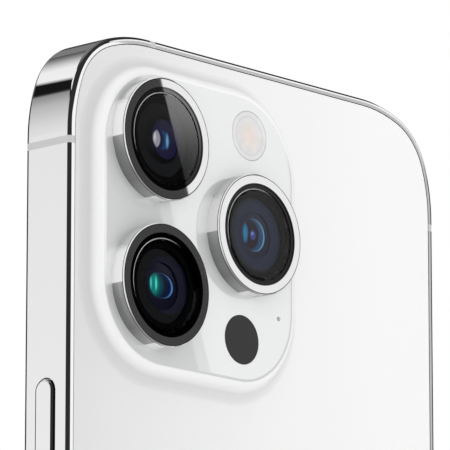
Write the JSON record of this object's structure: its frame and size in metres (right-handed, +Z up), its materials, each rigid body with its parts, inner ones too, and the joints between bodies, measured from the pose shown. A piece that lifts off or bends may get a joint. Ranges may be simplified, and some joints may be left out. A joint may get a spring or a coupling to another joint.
{
  "type": "smartphone",
  "caption": "Smartphone with a polished metal side band, white rear glass, a raised camera plateau with ringed lenses, push buttons, a sliding switch and a card tray.",
  "frame": {"origin": "bottom centre of the box round the whole upright phone", "axes": "+Z up along the phone's length, -Y out of the rear glass, +Y out of the display, +X to the right seen from the rear"},
  "size_m": [0.0724, 0.012, 0.1475],
  "materials": {
    "polished_steel": "mirror polished, pale silver",
    "antenna_plastic": "satin pale grey",
    "white_glass": "satin on the flats, gloss on the camera plateau",
    "white_film": "matt white",
    "clear_glass": "clear, polished",
    "display_glass": "clear, polished",
    "lens_glass": "coated, polished",
    "black_plastic": "matt black",
    "black_gloss": "gloss black",
    "flash_diffuser": "translucent white",
    "yellow_phosphor": "matt yellow",
    "grey_aluminium": "bead blasted",
    "plain_steel": "brushed",
    "black_wrap": "matt black film",
    "circuit_board": "solder mask",
    "copper_coil": "enamelled copper",
    "mesh_steel": "dark woven",
    "seal_rubber": "matt"
  },
  "bodies": {
    "phone": {"antenna_breaks": "antenna_plastic", "back_color_film": "white_film", "back_glass": "white_glass", "band_bottom_left": "polished_steel", "band_bottom_right": "polished_steel", "band_left_side": "polished_steel", "band_right_side": "polished_steel", "band_top_left": "polished_steel", "band_top_right": "polished_steel", "battery": "black_wrap", "board_screws": "plain_steel", "board_shields": "plain_steel", "bottom_screws": "polished_steel", "button_dome_switches": "plain_steel", "card_reader": "black_plastic", "charging_coil": "copper_coil", "charging_port_shell": "plain_steel", "charging_port_tongue": "black_plastic", "chassis_plate": "grey_aluminium", "display_backplate": "plain_steel", "display_glass": "display_glass", "display_panel": "black_gloss", "display_seal": "seal_rubber", "earpiece_mesh": "mesh_steel", "earpiece_speaker": "black_plastic", "flash_module": "yellow_phosphor", "flash_window": "flash_diffuser", "front_camera": "black_plastic", "grille_meshes": "mesh_steel", "haptic_housing": "grey_aluminium", "image_sensors": "black_gloss", "infrared_modules": "black_plastic", "logic_board": "circuit_board", "loudspeaker": "black_plastic", "magnet_ring": "plain_steel", "main_camera_housing": "grey_aluminium", "main_camera_ring": "polished_steel", "main_cover_glass": "clear_glass", "ranger_module": "black_plastic", "ranger_window": "clear_glass", "rear_mic_mesh": "mesh_steel", "sensor_island": "black_gloss", "tele_camera_housing": "grey_aluminium", "tele_camera_ring": "polished_steel", "tele_cover_glass": "clear_glass", "wide_camera_housing": "grey_aluminium", "wide_camera_ring": "polished_steel", "wide_cover_glass": "clear_glass"},
    "side_button": {"side_button": "polished_steel"},
    "volume_up_button": {"volume_up_button": "polished_steel"},
    "volume_down_button": {"volume_down_button": "polished_steel"},
    "silent_switch": {"silent_switch": "polished_steel"},
    "card_tray": {"card_tray": "polished_steel"},
    "haptic_mass": {"haptic_mass": "plain_steel"},
    "tele_focus": {"tele_focus_barrel": "black_plastic", "tele_front_lens": "lens_glass"},
    "main_focus": {"main_focus_barrel": "black_plastic", "main_front_lens": "lens_glass"},
    "wide_focus": {"wide_focus_barrel": "black_plastic", "wide_front_lens": "lens_glass"}
  },
  "joints": [
    {"name": "side_button_press", "type": "slide", "parent": "phone", "child": "side_button", "axis": [1, 0, 0], "range_m": [0, 0.0003], "stiffness_N_per_m": 1500, "springref_m": -0.0002},
    {"name": "volume_up_press", "type": "slide", "parent": "phone", "child": "volume_up_button", "axis": [-1, 0, 0], "range_m": [0, 0.0003], "stiffness_N_per_m": 1500, "springref_m": -0.0002},
    {"name": "volume_down_press", "type": "slide", "parent": "phone", "child": "volume_down_button", "axis": [-1, 0, 0], "range_m": [0, 0.0003], "stiffness_N_per_m": 1500, "springref_m": -0.0002},
    {"name": "silent_switch_slide", "type": "slide", "parent": "phone", "child": "silent_switch", "axis": [0, -1, 0], "range_m": [0, 0.0011]},
    {"name": "card_tray_slide", "type": "slide", "parent": "phone", "child": "card_tray", "axis": [1, 0, 0], "range_m": [0, 0.019]},
    {"name": "tele_focus_slide", "type": "slide", "parent": "phone", "child": "tele_focus", "axis": [0, -1, 0], "range_m": [0, 0.0003]},
    {"name": "main_focus_slide", "type": "slide", "parent": "phone", "child": "main_focus", "axis": [0, -1, 0], "range_m": [0, 0.0003]},
    {"name": "wide_focus_slide", "type": "slide", "parent": "phone", "child": "wide_focus", "axis": [0, -1, 0], "range_m": [0, 0.0003]},
    {"name": "haptic_swing", "type": "slide", "parent": "phone", "child": "haptic_mass", "axis": [1, 0, 0], "range_m": [-0.0004, 0.0004], "stiffness_N_per_m": 1500}
  ]
}
